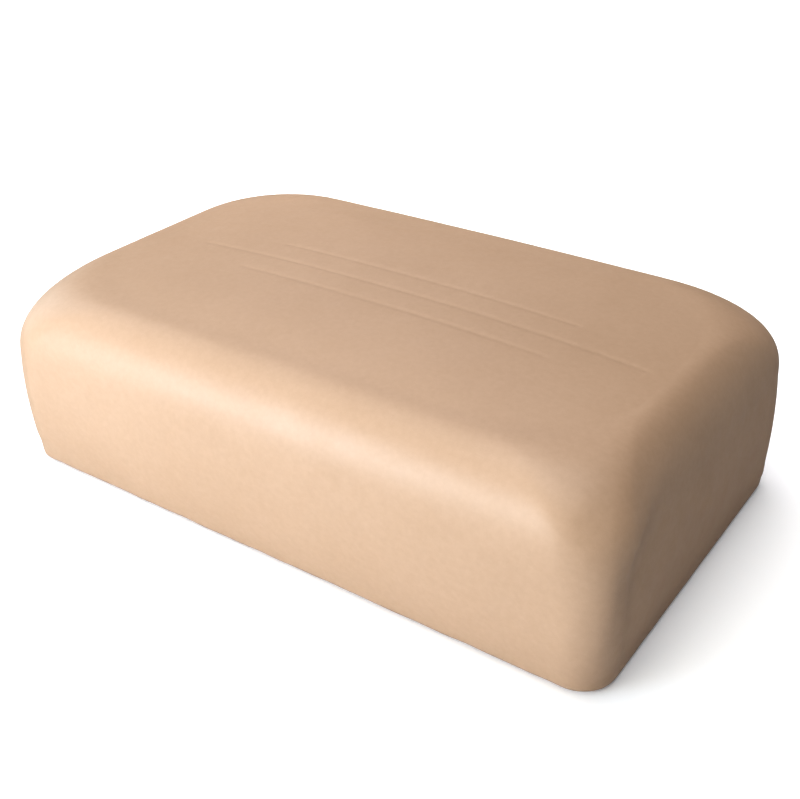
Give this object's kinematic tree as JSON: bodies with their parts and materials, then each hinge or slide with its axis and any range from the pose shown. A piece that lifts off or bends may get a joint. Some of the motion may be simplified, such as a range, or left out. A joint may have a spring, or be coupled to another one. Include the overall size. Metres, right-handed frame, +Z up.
{
  "type": "face cradle cushion",
  "caption": "Rectangular upholstered head and face rest pad: foam on a board under one vinyl cover, with pressed lines on top and loop tape beneath.",
  "frame": {"origin": "centre of the underside, on the lower faces of the two loop strips", "axes": "+X along the cushion's long side, +Y across it, +Z up through the padded top"},
  "size_m": [0.355, 0.227, 0.109],
  "materials": {
    "plywood": "sanded, unfinished",
    "firm_foam": "open-cell foam, matte",
    "soft_foam": "open-cell foam, matte",
    "wadding": "fluffy polyester fibre",
    "backing_cloth": "thin non-woven cloth",
    "quilt_foam": "thin open-cell foam",
    "vinyl": "smooth upholstery vinyl with a very fine grain, satin",
    "staple_wire": "galvanised wire",
    "dust_cloth": "black non-woven dust cloth",
    "loop_tape": "black loop pile tape"
  },
  "bodies": {
    "root": {"base_board": "plywood", "firm_foam": "firm_foam", "comfort_foam": "soft_foam", "wadding": "wadding", "quilt_backing": "backing_cloth", "quilt_foam": "quilt_foam", "vinyl_cover": "vinyl", "cover_staples": "staple_wire", "dust_cover": "dust_cloth", "dust_cover_staples": "staple_wire", "loop_strip_left": "loop_tape", "loop_strip_right": "loop_tape", "strip_staples": "staple_wire"}
  },
  "joints": []
}
